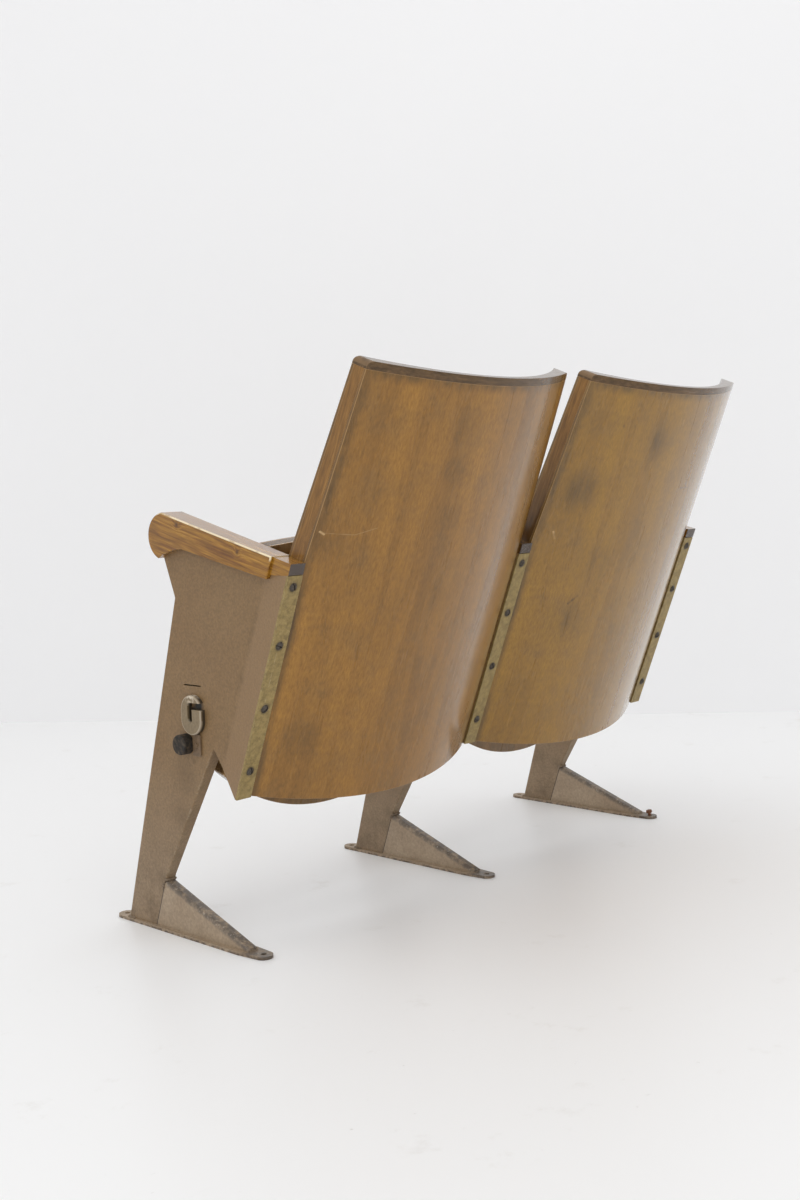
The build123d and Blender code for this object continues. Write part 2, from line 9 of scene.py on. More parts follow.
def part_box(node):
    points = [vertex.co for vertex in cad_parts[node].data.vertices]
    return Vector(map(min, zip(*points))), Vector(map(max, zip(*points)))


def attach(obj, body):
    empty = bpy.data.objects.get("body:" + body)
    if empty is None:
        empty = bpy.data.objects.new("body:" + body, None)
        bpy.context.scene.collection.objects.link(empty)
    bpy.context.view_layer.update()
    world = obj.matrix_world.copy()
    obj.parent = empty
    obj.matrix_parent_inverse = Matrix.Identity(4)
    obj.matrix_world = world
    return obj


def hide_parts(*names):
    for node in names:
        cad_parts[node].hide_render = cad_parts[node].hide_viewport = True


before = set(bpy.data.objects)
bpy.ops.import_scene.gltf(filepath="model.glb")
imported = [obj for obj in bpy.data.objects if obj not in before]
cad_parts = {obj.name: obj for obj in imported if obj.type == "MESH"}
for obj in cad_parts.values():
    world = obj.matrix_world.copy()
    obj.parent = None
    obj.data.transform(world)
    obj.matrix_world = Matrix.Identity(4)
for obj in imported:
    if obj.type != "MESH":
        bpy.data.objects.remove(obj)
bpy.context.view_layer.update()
scene = bpy.context.scene

# Room: the row stands on a white-painted floor in front of a white wall and is seen from behind,
# from its near left end. The light is that of a bright studio, soft and from everywhere.
EYE = Vector((1.8474, 1.6837, 0.6903))
YAW, PITCH, ROLL = 3.9674, 0.0846, -0.0319
LENS_MM, FILM_MM = 42.0, 36.0
ahead = Vector((math.sin(YAW) * math.cos(PITCH), math.cos(YAW) * math.cos(PITCH), -math.sin(PITCH)))
level = Vector((math.cos(YAW), -math.sin(YAW), 0.0))
above = level.cross(ahead)
across = math.cos(ROLL) * level + math.sin(ROLL) * above
upward = math.cos(ROLL) * above - math.sin(ROLL) * level
camera = bpy.data.objects.new("camera", bpy.data.cameras.new("camera"))
camera.data.lens = LENS_MM
camera.data.sensor_width = FILM_MM
aim = Matrix((across, upward, -ahead)).transposed().to_4x4()
camera.matrix_world = Matrix.Translation(EYE) @ aim
scene.collection.objects.link(camera)
scene.camera = camera
scene.view_settings.view_transform = "Standard"


def srgb(code):
    """Linear colour of an sRGB hex value."""
    parts = [int(code[i:i + 2], 16) / 255 for i in (1, 3, 5)]
    return tuple(p / 12.92 if p <= 0.04045 else ((p + 0.055) / 1.055) ** 2.4 for p in parts) + (1.0,)


def new_material(name):
    """An empty material and its node tree."""
    material = bpy.data.materials.new(name)
    material.use_nodes = True
    material.node_tree.nodes.clear()
    return material, material.node_tree


def put(tree, kind, inputs={}, **settings):
    """Adds one shader node with its settings; an input is a value, or the socket that feeds it."""
    made = tree.nodes.new("ShaderNode" + kind)
    for name, value in settings.items():
        setattr(made, name, value)
    for name, value in inputs.items():
        if isinstance(value, bpy.types.NodeSocket):
            tree.links.new(value, made.inputs[name])
        else:
            made.inputs[name].default_value = value
    return made


def lay_surface(tree, colour, roughness, relief, depth_mm, inputs={}):
    """Closes a material: its colour, its roughness, its relief in millimetres, then shader values."""
    bump = put(tree, "Bump", {"Height": relief, "Strength": 1.0, "Distance": depth_mm / 1000})
    skin = put(tree, "BsdfPrincipled", {"Base Color": colour, "Roughness": roughness,
                                        "Normal": bump.outputs[0], **inputs})
    put(tree, "OutputMaterial", {"Surface": skin.outputs[0]})


def own_object(name, mesh_bm, material):
    """An object at the origin from a finished bmesh."""
    mesh = bpy.data.meshes.new(name)
    mesh_bm.to_mesh(mesh)
    mesh_bm.free()
    mesh.materials.append(material)
    piece = bpy.data.objects.new(name, mesh)
    scene.collection.objects.link(piece)
    return piece


# Floor paint is worn matt white with faint scuffs and specks of dirt.
floor_paint, tree = new_material("white_floor_paint")
place = put(tree, "TexCoord").outputs["Object"]
scuff = put(tree, "TexNoise", {"Vector": place, "Scale": 1 / 0.143, "Detail": 8.0,
                               "Roughness": 0.75}).outputs[0]
scuff = put(tree, "MapRange", {"Value": scuff, "From Min": 0.6, "From Max": 0.8}).outputs[0]
tone = put(tree, "Mix", {0: scuff, 6: srgb("#f4f4f4"), 7: srgb("#e4e2df")}, data_type="RGBA").outputs[2]
speck = put(tree, "TexNoise", {"Vector": place, "Scale": 1 / 0.0222, "Detail": 6.0,
                               "Roughness": 0.7}).outputs[0]
speck = put(tree, "MapRange", {"Value": speck, "From Min": 0.68, "From Max": 0.76, "To Max": 0.5}).outputs[0]
tone = put(tree, "Mix", {0: speck, 6: tone, 7: srgb("#a9a49c")}, data_type="RGBA").outputs[2]
lay_surface(tree, tone, 0.42, scuff, 0.2)
# Wall paint is smooth white emulsion, rolled on, with the slightest clouding.
wall_paint, tree = new_material("white_wall_paint")
place = put(tree, "TexCoord").outputs["Object"]
roller = put(tree, "TexNoise", {"Vector": place, "Scale": 1 / 0.00333, "Detail": 2.0}).outputs[0]
cloud = put(tree, "TexNoise", {"Vector": place, "Scale": 1 / 1.25, "Detail": 2.0}).outputs[0]
tone = put(tree, "Mix", {0: cloud, 6: srgb("#f5f5f6"), 7: srgb("#f2f2f3")}, data_type="RGBA").outputs[2]
lay_surface(tree, tone, 0.7, roller, 0.1)

ROOM_HALF = 9.0
bm = bmesh.new()
bmesh.ops.create_grid(bm, x_segments=1, y_segments=1, size=ROOM_HALF)
floor = own_object("floor", bm, floor_paint)
WALL_A, WALL_B = Vector((-0.503, -1.937, 0.0)), Vector((-1.755, -0.253, 0.0))
along_wall = (WALL_B - WALL_A).normalized()
turn = math.atan2(along_wall.y, along_wall.x)
bm = bmesh.new()
bmesh.ops.create_grid(bm, x_segments=1, y_segments=1, size=ROOM_HALF)
bmesh.ops.rotate(bm, verts=bm.verts, cent=(0, 0, 0), matrix=Matrix.Rotation(math.radians(90), 3, "X"))
bmesh.ops.rotate(bm, verts=bm.verts, cent=(0, 0, 0), matrix=Matrix.Rotation(turn, 3, "Z"))
bmesh.ops.translate(bm, verts=bm.verts, vec=(WALL_A + WALL_B) / 2)
wall = own_object("wall", bm, wall_paint)

SKY_STRENGTH = 0.95
SOFTBOX_SIZE, SOFTBOX_WATTS = 3.0, 20.0
hung_at, aimed_at = Vector((0.9, 1.2, 3.4)), Vector((0.0, 0.2, 0.4))
world = bpy.data.worlds.new("studio")
world.use_nodes = True
sky = world.node_tree.nodes["Background"].inputs
sky["Color"].default_value = (1.0, 1.0, 1.0, 1.0)
sky["Strength"].default_value = SKY_STRENGTH
scene.world = world
softbox = bpy.data.objects.new("overhead_softbox", bpy.data.lights.new("overhead_softbox", "AREA"))
softbox.data.size = SOFTBOX_SIZE
softbox.data.energy = SOFTBOX_WATTS
aim = (aimed_at - hung_at).to_track_quat("-Z", "Y").to_matrix().to_4x4()
softbox.matrix_world = Matrix.Translation(hung_at) @ aim
scene.collection.objects.link(softbox)

# Supports: each is two mirrored pressings of 1.5 mm sheet steel, leg, cheek and wing in one, welded
# edge to edge. They are sprayed with hammered enamel, scuffed and dirty low on the legs.
# Backs, wings and strips share one slope, measured from the strips' top bolts at this Y and Z.
RECLINE = math.radians(21.4)
STRIP_REF = (0.258, 0.548)
# Edges flatter than the first angle are shaded smooth, those squarer than the second are rounded, and
# a face narrower than an arris counts as worn.
SHARP_EDGE, SQUARE_EDGE = math.radians(38), math.radians(40)
ARRIS_WIDTH = 0.0016


def lean_with_back(x):
    """Mapping inputs that lay a pattern in the backs' plane: X across, Y to the rear, Z up the slope."""
    y, z = STRIP_REF
    c, s = math.cos(RECLINE), math.sin(RECLINE)
    return {"Location": (-x, z * s - y * c, -y * s - z * c), "Rotation": (RECLINE, 0, 0)}


def merged_copy(node):
    """A bmesh of a solid, its loose triangles merged."""
    bm = bmesh.new()
    bm.from_mesh(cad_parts[node].data)
    bmesh.ops.remove_doubles(bm, verts=bm.verts, dist=1e-6)
    return bm


def shade_by_angle(bm):
    """Smooth faces that keep their sharp edges crisp."""
    for face in bm.faces:
        face.smooth = True
    for edge in bm.edges:
        edge.smooth = not edge.is_manifold or edge.calc_face_angle() < SHARP_EDGE


def dress(node, body, material, round_mm=0.0):
    """A merged copy of a solid with softened edges; its arrises are marked as worn for the material."""
    bm = merged_copy(node)
    bmesh.ops.dissolve_limit(bm, angle_limit=math.radians(0.4), verts=bm.verts, edges=bm.edges)
    worn = bm.faces.layers.float.new("wear")
    for face in bm.faces:
        longest = max(edge.calc_length() for edge in face.edges)
        face[worn] = 1.0 if face.calc_area() / longest < ARRIS_WIDTH else 0.0
    if round_mm:
        square = [e for e in bm.edges if e.is_manifold and e.calc_face_angle() > SQUARE_EDGE]
        made = bmesh.ops.bevel(bm, geom=square, offset=round_mm / 1000, offset_type="OFFSET", affect="EDGES",
                               segments=2, profile=0.5, material=-1, clamp_overlap=True)
        for face in made["faces"]:
            face[worn] = 1.0
    shade_by_angle(bm)
    piece = own_object(node + "_finished", bm, material)
    hold = piece.modifiers.new("flat faces stay flat", "WEIGHTED_NORMAL")
    hold.keep_sharp = True
    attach(piece, body)
    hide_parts(node)


def smudge(tree, place, at, reach_mm):
    """Mask of a soft blot round a point, one in its middle and none at its reach."""
    away = put(tree, "VectorMath", {0: place, 1: at}, operation="DISTANCE").outputs["Value"]
    return put(tree, "MapRange", {"Value": away, "From Min": reach_mm / 1000, "From Max": 0.0},
               interpolation_type="SMOOTHSTEP").outputs[0]


def speckle(tree, colour, fleck, darkest, palest):
    """The colour made darker and paler by a fleck pattern."""
    share = put(tree, "MapRange", {"Value": fleck, "From Min": 0.3, "From Max": 0.7,
                                   "To Min": darkest, "To Max": palest}).outputs[0]
    return put(tree, "Mix", {0: 1.0, 6: colour, 7: share}, data_type="RGBA", blend_type="MULTIPLY").outputs[2]


def hammer_dimples(tree, place):
    """Relief of hammered enamel, soft dimples 3 mm apart."""
    return put(tree, "TexVoronoi", {"Vector": place, "Scale": 1 / 0.003, "Smoothness": 0.6},
               feature="SMOOTH_F1").outputs["Distance"]


# Where the cheeks are scuffed, and where painted shade blackens them behind each bearing's slot for its dark
# hollow: a point in side view and a reach in millimetres. The wings are creased on one line of the backs'
# slope.
SCUFFS = (((0.0, 0.012, 0.25), 48.0), ((0.0, 0.036, 0.279), 8.0), ((0.0, 0.002, 0.19), 40.0),
          ((0.0, -0.056, 0.085), 26.0))
SLOT_SHADE = (((0.0, 0.041, 0.352), 19.0), ((0.0, 0.052, 0.365), 13.0))
CREASE_AT = -0.049


def hammered_enamel(name, pale, deep, dirt_and_shade, dirt_top):
    """Hammered stoving enamel on steel: satin, dimpled every 3 mm, with bare metal at worn edges."""
    material, tree = new_material(name)
    place = put(tree, "TexCoord").outputs["Object"]
    spot = put(tree, "SeparateXYZ", {0: place})
    cloud = put(tree, "TexNoise", {"Vector": place, "Scale": 1 / 0.111, "Detail": 4.0}).outputs[0]
    colour = put(tree, "Mix", {0: cloud, 6: srgb(deep), 7: srgb(pale)}, data_type="RGBA").outputs[2]
    faded = put(tree, "MapRange", {"Value": spot.outputs["Z"], "From Min": 0.3, "From Max": 0.08,
                                   "To Max": 0.6}).outputs[0]
    colour = put(tree, "Mix", {0: faded, 6: colour, 7: srgb("#907d66")}, data_type="RGBA").outputs[2]
    fleck = put(tree, "TexNoise", {"Vector": place, "Scale": 1 / 0.0035, "Detail": 2.0}).outputs[0]
    colour = speckle(tree, colour, fleck, 0.84, 1.14)
    # The wing behind the crease catches more light, shown as a painted highlight, and the crease itself gets
    # painted shade in places.
    wing = put(tree, "Mapping", {"Vector": place, **lean_with_back(0.0)})
    wing = put(tree, "SeparateXYZ", {0: wing.outputs[0]}).outputs["Y"]
    flare = put(tree, "MapRange", {"Value": wing, "From Min": CREASE_AT - 0.003,
                                   "From Max": CREASE_AT + 0.007, "To Max": 0.35}).outputs[0]
    colour = put(tree, "Mix", {0: flare, 6: colour, 7: srgb("#977a59")}, data_type="RGBA").outputs[2]
    crease = put(tree, "Math", {0: wing, 1: CREASE_AT}, operation="SUBTRACT").outputs[0]
    crease = put(tree, "Math", {0: crease}, operation="ABSOLUTE").outputs[0]
    crease = put(tree, "MapRange", {"Value": crease, "From Min": 0.009, "From Max": 0.0},
                 interpolation_type="SMOOTHSTEP").outputs[0]
    wear_and_painted_light = put(tree, "TexNoise", {"Vector": place, "Scale": 1 / 0.0385, "Detail": 5.0,
                                    "Roughness": 0.7}).outputs[0]
    patch = put(tree, "MapRange", {"Value": wear_and_painted_light, "From Min": 0.45, "From Max": 0.75}).outputs[0]
    crease = put(tree, "Math", {0: crease, 1: patch}, operation="MULTIPLY").outputs[0]
    # Dirt lies low on the leg and in the scuffs; the darkening in the crease is painted shade.
    dirt_and_crease_shade = put(tree, "MapRange", {"Value": spot.outputs["Z"], "From Min": dirt_top,
                                 "From Max": 0.02}).outputs[0]
    dirt_and_crease_shade = put(tree, "Math", {0: dirt_and_crease_shade, 1: patch}, operation="MULTIPLY").outputs[0]
    flat = put(tree, "CombineXYZ", {1: spot.outputs["Y"], 2: spot.outputs["Z"]}).outputs[0]
    for at, reach in SCUFFS:
        blot = smudge(tree, flat, at, reach)
        blot = put(tree, "Math", {0: blot, 1: wear_and_painted_light}, operation="MULTIPLY").outputs[0]
        dirt_and_crease_shade = put(tree, "Math", {0: dirt_and_crease_shade, 1: blot}, operation="MAXIMUM").outputs[0]
    dirt_and_crease_shade = put(tree, "Math", {0: dirt_and_crease_shade, 1: crease}, operation="MAXIMUM").outputs[0]
    dirt_and_crease_shade = put(tree, "Math", {0: dirt_and_crease_shade, 1: 0.6}, operation="MULTIPLY").outputs[0]
    colour = put(tree, "Mix", {0: dirt_and_crease_shade, 6: colour, 7: srgb(dirt_and_shade)}, data_type="RGBA").outputs[2]
    # Painted shade: near-black blots behind each bearing's slot stand in for its dark hollow.
    for at, reach in SLOT_SHADE:
        black = put(tree, "Math", {0: smudge(tree, flat, at, reach), 1: 1.6}, operation="MULTIPLY",
                    use_clamp=True).outputs[0]
        colour = put(tree, "Mix", {0: black, 6: colour, 7: srgb("#17110c")}, data_type="RGBA").outputs[2]
    worn = put(tree, "Attribute", attribute_name="wear").outputs["Fac"]
    chip = put(tree, "TexNoise", {"Vector": place, "Scale": 1 / 0.0286, "Detail": 6.0,
                                  "Roughness": 0.75}).outputs[0]
    chip = put(tree, "MapRange", {"Value": chip, "From Min": 0.5, "From Max": 0.72}).outputs[0]
    chip = put(tree, "Math", {0: chip, 1: worn}, operation="MULTIPLY").outputs[0]
    colour = put(tree, "Mix", {0: chip, 6: colour, 7: srgb("#a09078")}, data_type="RGBA").outputs[2]
    rough = put(tree, "MapRange", {"Value": dirt_and_crease_shade, "To Min": 0.5, "To Max": 0.75}).outputs[0]
    lay_surface(tree, colour, rough, hammer_dimples(tree, place), 0.35, {"IOR": 1.5})
    return material


leg_enamel = hammered_enamel("taupe_hammered_enamel", "#866b47", "#795c39", "#4c3a26", 0.2)
for end in ("left", "middle", "right"):
    for cheek in ("left", "right"):
        dress(f"{end}_support_{cheek}_cheek", "frame", leg_enamel)

# Feet: a hollow pressed fin welded on a base plate with a bolt lug at each end, brushed with the same
# enamel. The ridge is kicked bare and dark, and the plate's edge has rusted where the floor is wet.
PLATE_TOP = 0.005
ANKLE = (0.0, -0.049, 0.081)
JOINT_ACROSS = (0.0, 0.9423, -0.3348)
RIDGE_FALL, RIDGE_HEIGHT = 0.3717, 0.061
foot_enamel, tree = new_material("kicked_hammered_enamel")
place = put(tree, "TexCoord").outputs["Object"]
spot = put(tree, "SeparateXYZ", {0: place})
cloud = put(tree, "TexNoise", {"Vector": place, "Scale": 1 / 0.0556, "Detail": 5.0,
                               "Roughness": 0.6}).outputs[0]
colour = put(tree, "Mix", {0: cloud, 6: srgb("#8d7860"), 7: srgb("#ab9880")}, data_type="RGBA").outputs[2]
fleck = put(tree, "TexNoise", {"Vector": place, "Scale": 1 / 0.004, "Detail": 3.0}).outputs[0]
colour = speckle(tree, colour, fleck, 0.82, 1.14)
# The ridge falls from the ankle to the heel; what lies within 9 mm of it is kicked bare.
ridge = put(tree, "Math", {0: spot.outputs["Y"], 1: RIDGE_FALL, 2: spot.outputs["Z"]},
            operation="MULTIPLY_ADD").outputs[0]
ridge = put(tree, "MapRange", {"Value": ridge, "From Min": RIDGE_HEIGHT - 0.009, "From Max": RIDGE_HEIGHT},
            interpolation_type="SMOOTHSTEP").outputs[0]
kick = put(tree, "TexNoise", {"Vector": place, "Scale": 1 / 0.0143, "Detail": 4.0,
                              "Roughness": 0.7}).outputs[0]
bare = put(tree, "MapRange", {"Value": kick, "From Min": 0.3, "From Max": 0.55}).outputs[0]
bare = put(tree, "Math", {0: bare, 1: ridge}, operation="MULTIPLY").outputs[0]
colour = put(tree, "Mix", {0: bare, 6: colour, 7: srgb("#5c5248")}, data_type="RGBA").outputs[2]
# Painted highlight: pale glints scattered along the bare ridge.
glint = put(tree, "TexNoise", {"Vector": place, "Scale": 1 / 0.00385, "Detail": 2.0}).outputs[0]
glint = put(tree, "MapRange", {"Value": glint, "From Min": 0.62, "From Max": 0.74}).outputs[0]
glint = put(tree, "Math", {0: glint, 1: ridge}, operation="MULTIPLY").outputs[0]
colour = put(tree, "Mix", {0: glint, 6: colour, 7: srgb("#a2978a")}, data_type="RGBA").outputs[2]
rust = put(tree, "MapRange", {"Value": spot.outputs["Z"], "From Min": PLATE_TOP + 0.0005,
                              "From Max": 0.001}).outputs[0]
eaten = put(tree, "TexNoise", {"Vector": place, "Scale": 1 / 0.00667, "Detail": 3.0}).outputs[0]
eaten = put(tree, "MapRange", {"Value": eaten, "From Min": 0.38, "From Max": 0.6}).outputs[0]
rust = put(tree, "Math", {0: rust, 1: eaten}, operation="MULTIPLY").outputs[0]
colour = put(tree, "Mix", {0: rust, 6: colour, 7: srgb("#4a3a2c")}, data_type="RGBA").outputs[2]
# A dark joint is left where the leg stands against the fin, along the line from the ankle to the sole.
joint = put(tree, "VectorMath", {0: place, 1: ANKLE}, operation="SUBTRACT").outputs[0]
joint = put(tree, "VectorMath", {0: joint, 1: JOINT_ACROSS}, operation="DOT_PRODUCT").outputs["Value"]
joint = put(tree, "MapRange", {"Value": joint, "From Min": 0.0022, "From Max": 0.0008}).outputs[0]
above_plate = put(tree, "MapRange", {"Value": spot.outputs["Z"], "From Min": PLATE_TOP,
                                     "From Max": PLATE_TOP + 0.0005}).outputs[0]
joint = put(tree, "Math", {0: joint, 1: above_plate}, operation="MULTIPLY").outputs[0]
colour = put(tree, "Mix", {0: joint, 6: colour, 7: srgb("#2b211a")}, data_type="RGBA").outputs[2]
rough = put(tree, "MapRange", {"Value": bare, "To Min": 0.5, "To Max": 0.36}).outputs[0]
lay_surface(tree, colour, rough, hammer_dimples(tree, place), 0.35, {"IOR": 1.5})
for end in ("left", "middle", "right"):
    dress(f"{end}_foot", "frame", foot_enamel, 0.8)

# Welds: lumpy beads of arc weld, painted over, tie each leg to its fin at the ankle and to the base
# plate at the toe; one heel lug still holds the rusty stump of its floor screw.
HEEL_HOLE_Y = 0.165
SHANK_RADIUS, SHANK_LENGTH = 0.003, 0.012
HEAD_RADIUS, HEAD_TOP_RADIUS, HEAD_HEIGHT = 0.0068, 0.0062, 0.005
weld_enamel = hammered_enamel("painted_weld", "#8a7763", "#6d5b49", "#3b2f24", 0.3)


def middle_x(node):
    """Where the middle of a piece lies along the row."""
    return sum(corner[0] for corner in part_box(node)) / 2


drops = random.Random(7)
for end in ("left", "middle", "right"):
    x = middle_x(f"{end}_foot")
    # Across the ankle and down both its sides, then across the toe and back along the plate.
    beads = [(x + 0.0022 * i, -0.0475, 0.0815) for i in range(-4, 5)]
    beads += [(x + side * 0.0098, -0.0495 - 0.0013 * i, 0.0795 - 0.0037 * i)
              for side in (-1, 1) for i in range(4)]
    beads += [(x + 0.0025 * i, -0.1465, 0.0062) for i in range(-4, 5)]
    beads += [(x + side * 0.0102, -0.1445 + 0.004 * i, 0.0058) for side in (-1, 1) for i in range(4)]
    bm = bmesh.new()
    for at in beads:
        bead = bmesh.ops.create_icosphere(bm, subdivisions=2, radius=drops.uniform(0.0019, 0.0029))["verts"]
        bmesh.ops.scale(bm, verts=bead, vec=(drops.uniform(0.8, 1.2), drops.uniform(0.8, 1.2), 0.8))
        shake = Vector([drops.uniform(-0.0006, 0.0006) for _ in at])
        bmesh.ops.translate(bm, verts=bead, vec=Vector(at) + shake)
    for face in bm.faces:
        face.smooth = True
    weld = own_object(f"{end}_weld_beads", bm, weld_enamel)
    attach(weld, "frame")

# Rust on the stump is matt and flaking, red-brown with paler scabs.
rust, tree = new_material("flaking_rust")
place = put(tree, "TexCoord").outputs["Object"]
flake = put(tree, "TexNoise", {"Vector": place, "Scale": 1 / 0.002, "Detail": 4.0,
                               "Roughness": 0.7}).outputs[0]
colour = put(tree, "Mix", {0: flake, 6: srgb("#4a2818"), 7: srgb("#8a5a3c")}, data_type="RGBA").outputs[2]
rough = put(tree, "MapRange", {"Value": flake, "To Min": 0.7, "To Max": 0.95}).outputs[0]
lay_surface(tree, colour, rough, flake, 0.4)
bm = bmesh.new()
shank = bmesh.ops.create_cone(bm, cap_ends=True, segments=16, radius1=SHANK_RADIUS, radius2=SHANK_RADIUS,
                              depth=SHANK_LENGTH)["verts"]
bmesh.ops.translate(bm, verts=shank, vec=(0, 0, 0.0065))
head = bmesh.ops.create_cone(bm, cap_ends=True, segments=6, radius1=HEAD_RADIUS, radius2=HEAD_TOP_RADIUS,
                             depth=HEAD_HEIGHT)["verts"]
bmesh.ops.translate(bm, verts=head, vec=(0, 0, 0.0132))
rim = [e for e in bm.edges if e.is_manifold and e.calc_face_angle() > 0.6 and e.verts[0] in head]
bmesh.ops.bevel(bm, geom=rim, offset=0.0006, offset_type="OFFSET", affect="EDGES", segments=2, profile=0.5,
                material=-1)
tilt = Matrix.Rotation(math.radians(9), 3, Vector((0.6, 0.8, 0.0)))
bmesh.ops.rotate(bm, verts=bm.verts, cent=(0, 0, 0.004), matrix=tilt)
bmesh.ops.translate(bm, verts=bm.verts, vec=(middle_x("right_foot"), HEEL_HOLE_Y, 0.0))
stump = own_object("right_heel_screw_stump", bm, rust)
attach(stump, "frame")

# Clamp strips: flat steel bars over the wings' rear edges, in an olive hammered enamel that has
# mottled with age, each held by four dark round-headed bolts with a slot.
BOLTS_AT = (0.0, -0.0903, -0.1901, -0.2922)
SUPPORT_SPACING = 0.52
REARWARD = Vector((0, math.cos(RECLINE), -math.sin(RECLINE)))
HEAD_REACH, SLOT_HALF, SLOT_DEPTH = 0.008, 0.0009, 0.0018


def from_support(tree, x):
    """How far a point lies along the row from the middle of its own support."""
    half = SUPPORT_SPACING / 2
    return put(tree, "Math", {0: x, 1: half, 2: -half}, operation="WRAP").outputs[0]


strip_enamel, tree = new_material("olive_hammered_enamel")
place = put(tree, "TexCoord").outputs["Object"]
cloud = put(tree, "TexNoise", {"Vector": place, "Scale": 1 / 0.00909, "Detail": 4.0,
                               "Roughness": 0.6}).outputs[0]
cloud = put(tree, "MapRange", {"Value": cloud, "From Min": 0.36, "From Max": 0.64}).outputs[0]
colour = put(tree, "Mix", {0: cloud, 6: srgb("#806c3e"), 7: srgb("#9c8652")}, data_type="RGBA").outputs[2]
fleck = put(tree, "TexNoise", {"Vector": place, "Scale": 1 / 0.003, "Detail": 2.0}).outputs[0]
colour = speckle(tree, colour, fleck, 0.86, 1.12)
# Painted shade: a dark ring round each bolt stands in for the shadow of its head.
sheet = put(tree, "Mapping", {"Vector": place, **lean_with_back(0.0)}).outputs[0]
spot = put(tree, "SeparateXYZ", {0: sheet})
sheet = put(tree, "CombineXYZ", {0: from_support(tree, spot.outputs["X"]), 2: spot.outputs["Z"]}).outputs[0]
for along in BOLTS_AT:
    darkening = put(tree, "Math", {0: smudge(tree, sheet, (0.0, 0.0, along), 11.0), 1: 1.5},
                operation="MULTIPLY", use_clamp=True).outputs[0]
    colour = put(tree, "Mix", {0: darkening, 6: colour, 7: srgb("#3d3423")}, data_type="RGBA").outputs[2]
worn = put(tree, "Attribute", attribute_name="wear").outputs["Fac"]
chip = put(tree, "TexNoise", {"Vector": place, "Scale": 1 / 0.00833, "Detail": 3.0}).outputs[0]
chip = put(tree, "MapRange", {"Value": chip, "From Min": 0.42, "From Max": 0.58}).outputs[0]
chip = put(tree, "Math", {0: chip, 1: worn}, operation="MULTIPLY").outputs[0]
colour = put(tree, "Mix", {0: chip, 6: colour, 7: srgb("#b6a887")}, data_type="RGBA").outputs[2]
lay_surface(tree, colour, 0.48, fleck, 0.3, {"IOR": 1.5})

# Bolt steel is blackened, with dull glints where it is rubbed.
bolt_steel, tree = new_material("blackened_bolt_steel")
place = put(tree, "TexCoord").outputs["Object"]
grain = put(tree, "TexNoise", {"Vector": place, "Scale": 1 / 0.00238, "Detail": 3.0}).outputs[0]
colour = put(tree, "Mix", {0: grain, 6: srgb("#2c2824"), 7: srgb("#6a625a")}, data_type="RGBA").outputs[2]
rough = put(tree, "MapRange", {"Value": grain, "To Min": 0.3, "To Max": 0.6}).outputs[0]
lay_surface(tree, colour, rough, grain, 0.15, {"Metallic": 0.7})


def head_faces(bm, centre):
    """Faces of the bolt head that stands out behind a point of the strip."""
    found = []
    for face in bm.faces:
        out = face.calc_center_median() - centre
        if out.length < HEAD_REACH and out.dot(REARWARD) > 1e-4:
            found.append(face)
    return found


for end, slot_turns in (("left", (20, 75, -40, 10)), ("middle", (60, -15, 35, 80)),
                        ("right", (5, 50, -60, 30))):
    dress(f"{end}_clamp_strip", "frame", strip_enamel, 0.5)
    bm = merged_copy(f"{end}_strip_bolts")
    x = middle_x(f"{end}_clamp_strip")
    for along, turned in zip(BOLTS_AT, slot_turns):
        centre = Vector((x, STRIP_REF[0] + along * math.sin(RECLINE),
                         STRIP_REF[1] + along * math.cos(RECLINE)))
        cut = (Matrix.Rotation(math.radians(turned), 3, REARWARD) @ Vector((1, 0, 0))).normalized()
        for side in (-1, 1):
            head = head_faces(bm, centre)
            edges = list(dict.fromkeys(e for f in head for e in f.edges))
            verts = list(dict.fromkeys(v for f in head for v in f.verts))
            bmesh.ops.bisect_plane(bm, geom=head + edges + verts, dist=1e-7,
                                   plane_co=centre + cut * side * SLOT_HALF, plane_no=cut)
        lane = [f for f in head_faces(bm, centre)
                if abs((f.calc_center_median() - centre).dot(cut)) < SLOT_HALF]
        sunk = bmesh.ops.extrude_face_region(bm, geom=lane)
        floor_verts = [v for v in sunk["geom"] if isinstance(v, bmesh.types.BMVert)]
        bmesh.ops.delete(bm, geom=lane, context="FACES")
        bmesh.ops.translate(bm, verts=floor_verts, vec=-REARWARD * SLOT_DEPTH)
    shade_by_angle(bm)
    bolts = own_object(f"{end}_slotted_bolts", bm, bolt_steel)
    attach(bolts, "frame")
    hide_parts(f"{end}_strip_bolts")

# Armrests: solid beech with a bulbous nose and a narrow rear tongue, screwed on from below. Years of
# hands have rubbed the varnish pale along the top arrises, which also carry a painted highlight, and the end
# grain has gone dark.
ALONG_ARMREST = {"Rotation": (math.radians(14.9), 0, 0)}
ARMREST_FALL, ARMREST_TOP = 0.2656, 0.65
GAP_HALF = 0.04
KNOT_BEND = 0.0035
ACROSS_ROW, FRONT_TO_REAR, UP_SLOPE = 0, 1, 2


